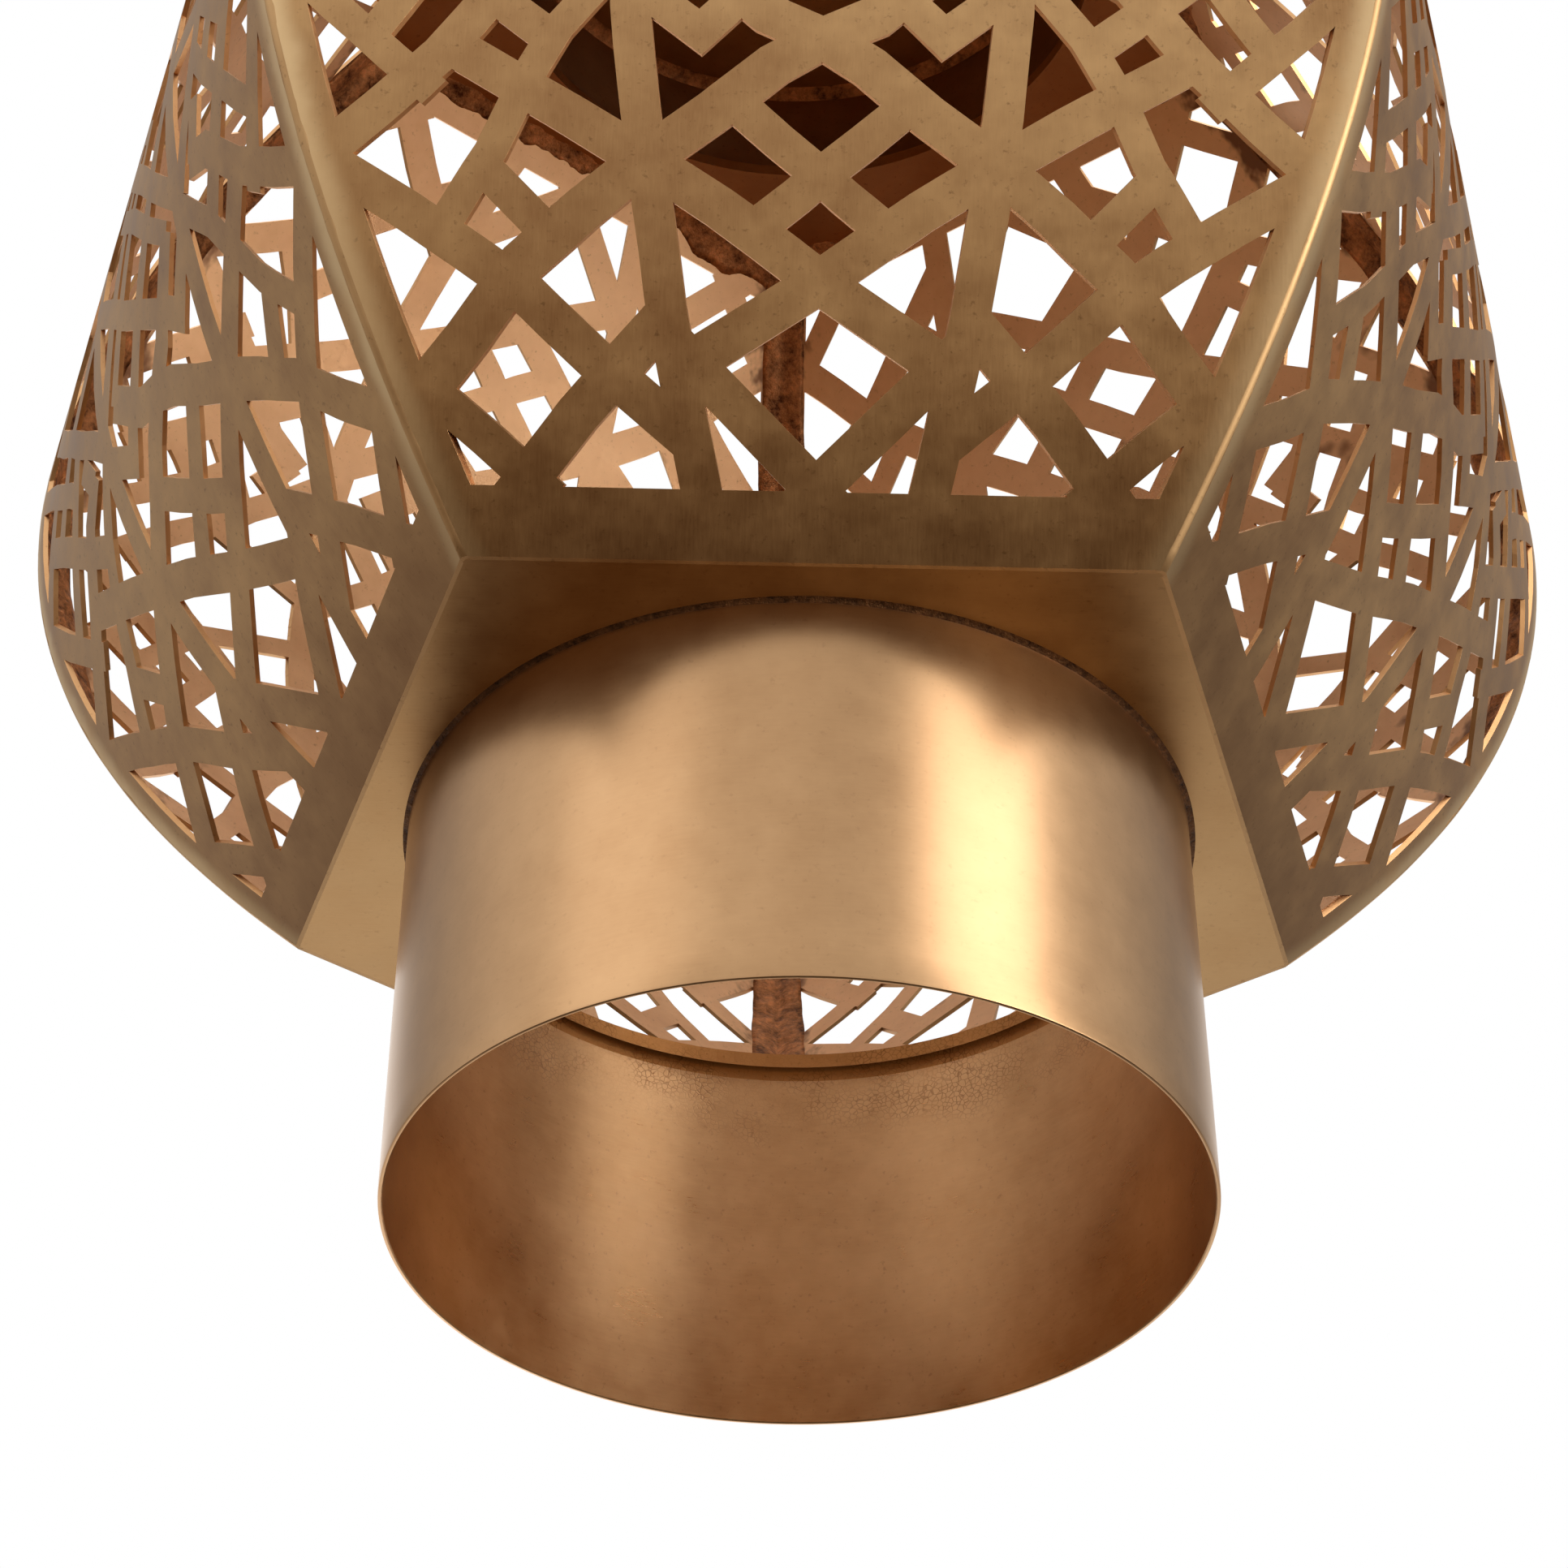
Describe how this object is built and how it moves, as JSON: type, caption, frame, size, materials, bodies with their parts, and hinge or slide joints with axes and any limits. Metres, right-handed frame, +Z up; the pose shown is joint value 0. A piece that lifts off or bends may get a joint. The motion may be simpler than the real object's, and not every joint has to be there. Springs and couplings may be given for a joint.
{
  "type": "tealight holder",
  "caption": "Pierced brass tealight holder: a pentagonal lattice belly between flat plates, on a round foot tube, with a matching collar and tealight cup on top.",
  "frame": {"origin": "middle of the bounding box on the table plane; the axis of the tubes is 5.27 mm in front of it", "axes": "+Z up, -Y the flat panel that faces the viewer, +Y the back ridge, +X right"},
  "size_m": [0.105, 0.0997, 0.136],
  "materials": {
    "panel_brass": "antiqued, brushed and lacquered",
    "plate_brass": "antiqued and brushed",
    "collar_brass": "antiqued satin",
    "cup_brass": "satin",
    "solder": "rough, darkened",
    "steel": "dull"
  },
  "bodies": {
    "root": {"foot_tube": "collar_brass", "bottom_plate": "plate_brass", "bottom_edge_solder": "solder", "panel_front": "panel_brass", "panel_front_right": "panel_brass", "panel_back_right": "panel_brass", "panel_back_left": "panel_brass", "panel_front_left": "panel_brass", "ridge_solder_back": "solder", "ridge_solder_back_left": "solder", "ridge_solder_front_left": "solder", "ridge_solder_front_right": "solder", "ridge_solder_back_right": "solder", "top_plate": "plate_brass", "top_edge_solder": "solder", "cup_collar": "collar_brass", "cup_floor": "cup_brass", "cup_floor_solder": "solder", "tealight_cup": "cup_brass", "cup_screw": "steel", "cup_washer": "steel", "cup_nut": "steel"}
  },
  "joints": []
}
